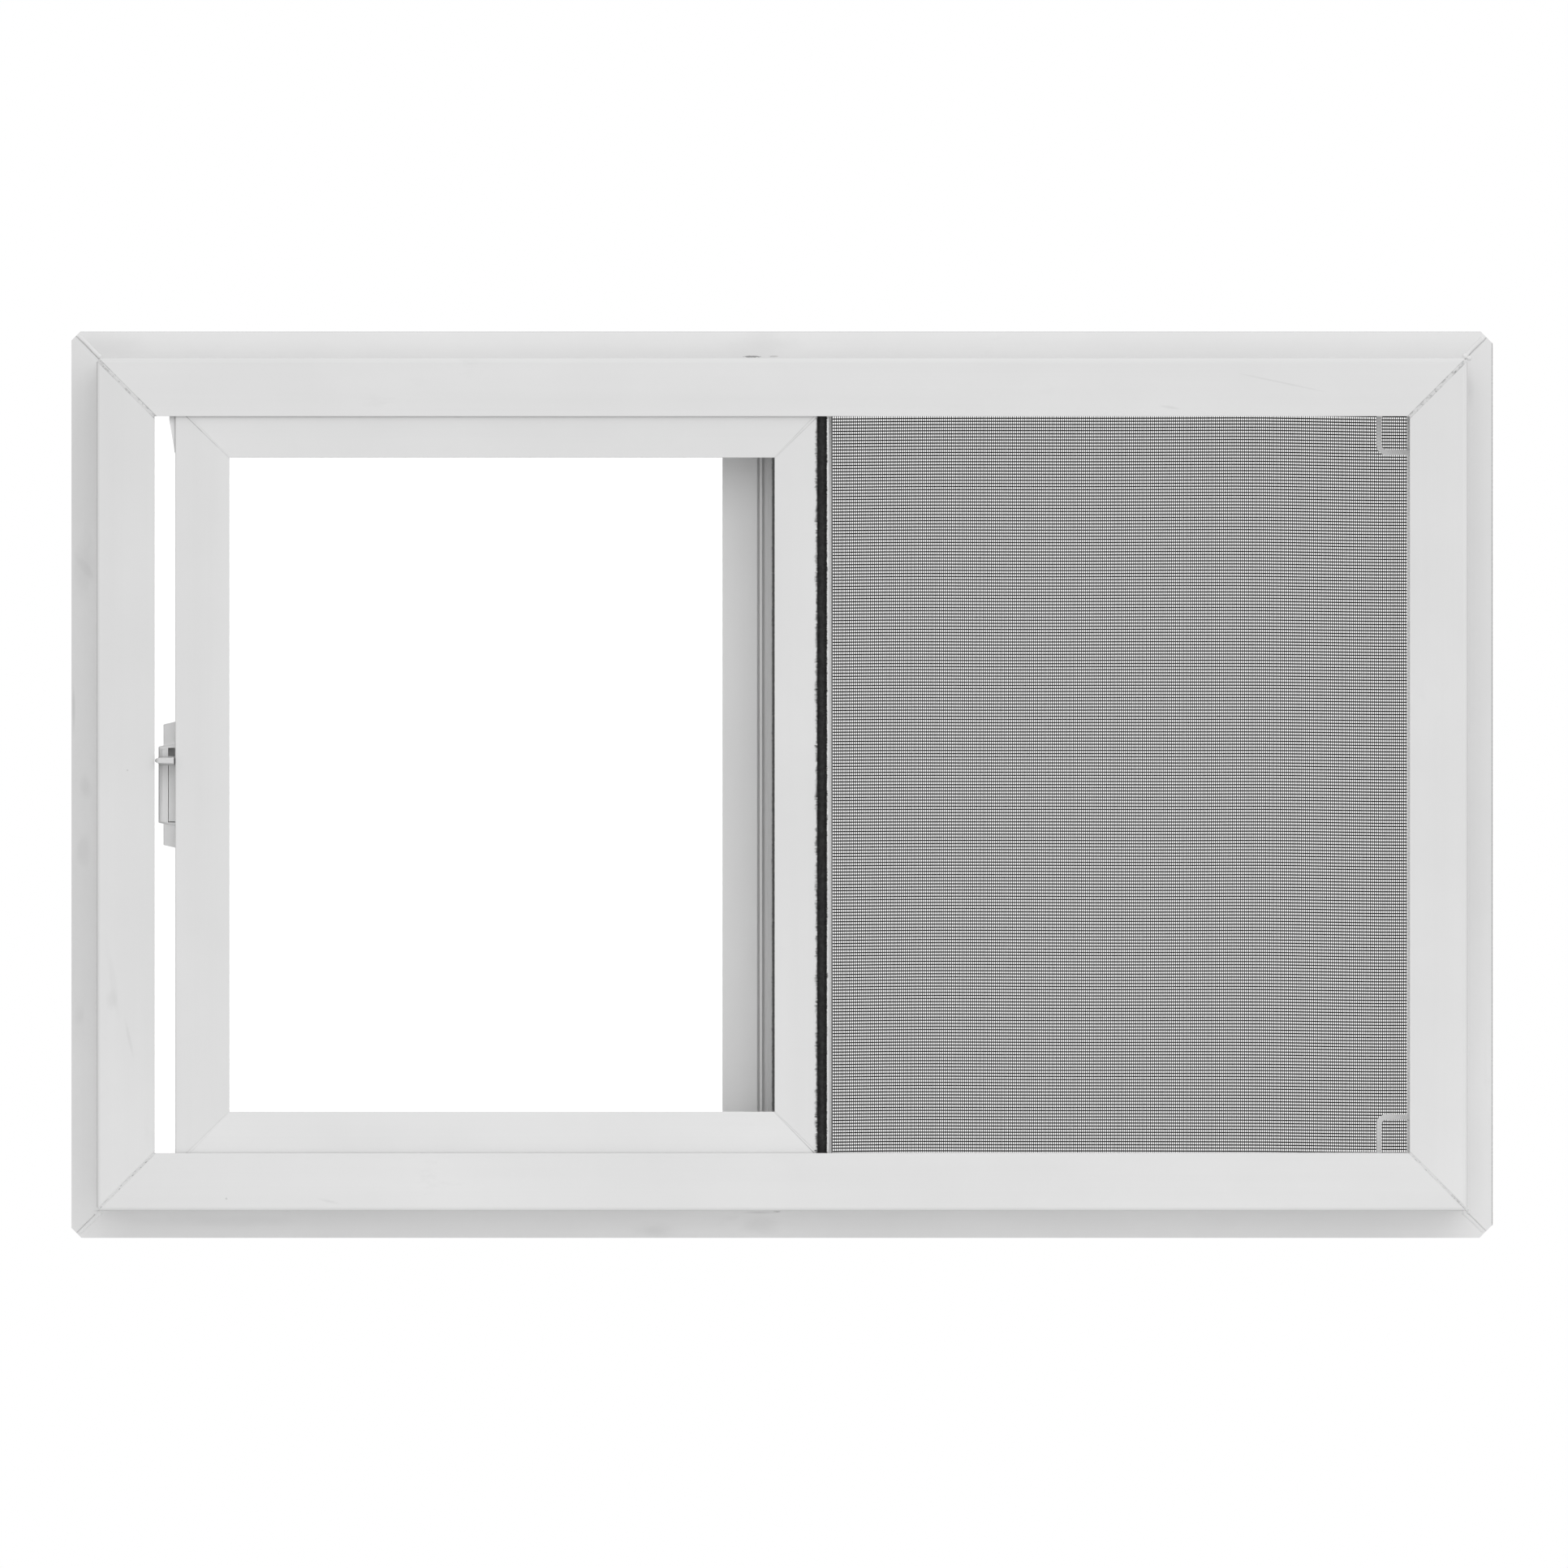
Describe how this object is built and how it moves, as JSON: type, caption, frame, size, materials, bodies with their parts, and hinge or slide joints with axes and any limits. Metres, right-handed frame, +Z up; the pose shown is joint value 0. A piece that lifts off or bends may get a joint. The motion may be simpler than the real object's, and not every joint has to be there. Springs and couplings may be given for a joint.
{
  "type": "horizontal sliding window",
  "caption": "White vinyl horizontal sliding window with a mounting fin, a fixed light, one sliding sash with an edge latch, and a half insect screen, shown open.",
  "frame": {"origin": "middle of the sill fin's wall-bearing face, at the window's mid width", "axes": "+X right as seen from the room, the way the sash closes; +Y to the outside; +Z up"},
  "size_m": [0.8414, 0.0745, 0.5366],
  "materials": {
    "vinyl": "white extruded vinyl, satin, with faint extrusion lines and cleaned weld seams",
    "latch": "white moulded plastic, satin",
    "glass": "clear float glass",
    "spacer": "matt spacer bar between the panes",
    "pile": "black woven pile",
    "screen_bar": "white painted roll-formed bar",
    "mesh": "charcoal coated glass-fibre insect mesh",
    "spline": "black foamed spline cord",
    "pull_loop": "grey moulded plastic loop"
  },
  "bodies": {
    "frame": {"frame_head": "vinyl", "frame_sill": "vinyl", "frame_left_jamb": "vinyl", "frame_right_jamb": "vinyl", "meeting_mullion": "vinyl", "mullion_pile": "pile", "fixed_glass_inner_pane": "glass", "fixed_glass_outer_pane": "glass", "fixed_glass_spacer": "spacer", "fixed_bead_top": "vinyl", "fixed_bead_bottom": "vinyl", "fixed_bead_left": "vinyl", "screen_top_bar": "screen_bar", "screen_bottom_bar": "screen_bar", "screen_left_bar": "screen_bar", "screen_right_bar": "screen_bar", "screen_mesh": "mesh", "screen_spline": "spline", "screen_pull_upper": "pull_loop", "screen_pull_lower": "pull_loop"},
    "sash": {"sash_top_rail": "vinyl", "sash_bottom_rail": "vinyl", "sash_lock_stile": "vinyl", "sash_jamb_stile": "vinyl", "sash_glass_inner_pane": "glass", "sash_glass_outer_pane": "glass", "sash_glass_spacer": "spacer", "sash_bead_top": "vinyl", "sash_bead_bottom": "vinyl", "sash_bead_left": "vinyl", "sash_bead_right": "vinyl", "sash_pile_top": "pile", "sash_pile_bottom": "pile", "sash_pile_right": "pile", "sash_guide_block": "latch", "latch_body": "latch"},
    "latch": {"latch_slider": "latch"}
  },
  "joints": [
    {"name": "sash_slide", "type": "slide", "parent": "frame", "child": "sash", "axis": [1, 0, 0], "range_m": [0, 0.3491]},
    {"name": "latch_slide", "type": "slide", "parent": "sash", "child": "latch", "axis": [0, 0, 1], "range_m": [0, 0.0045]}
  ]
}
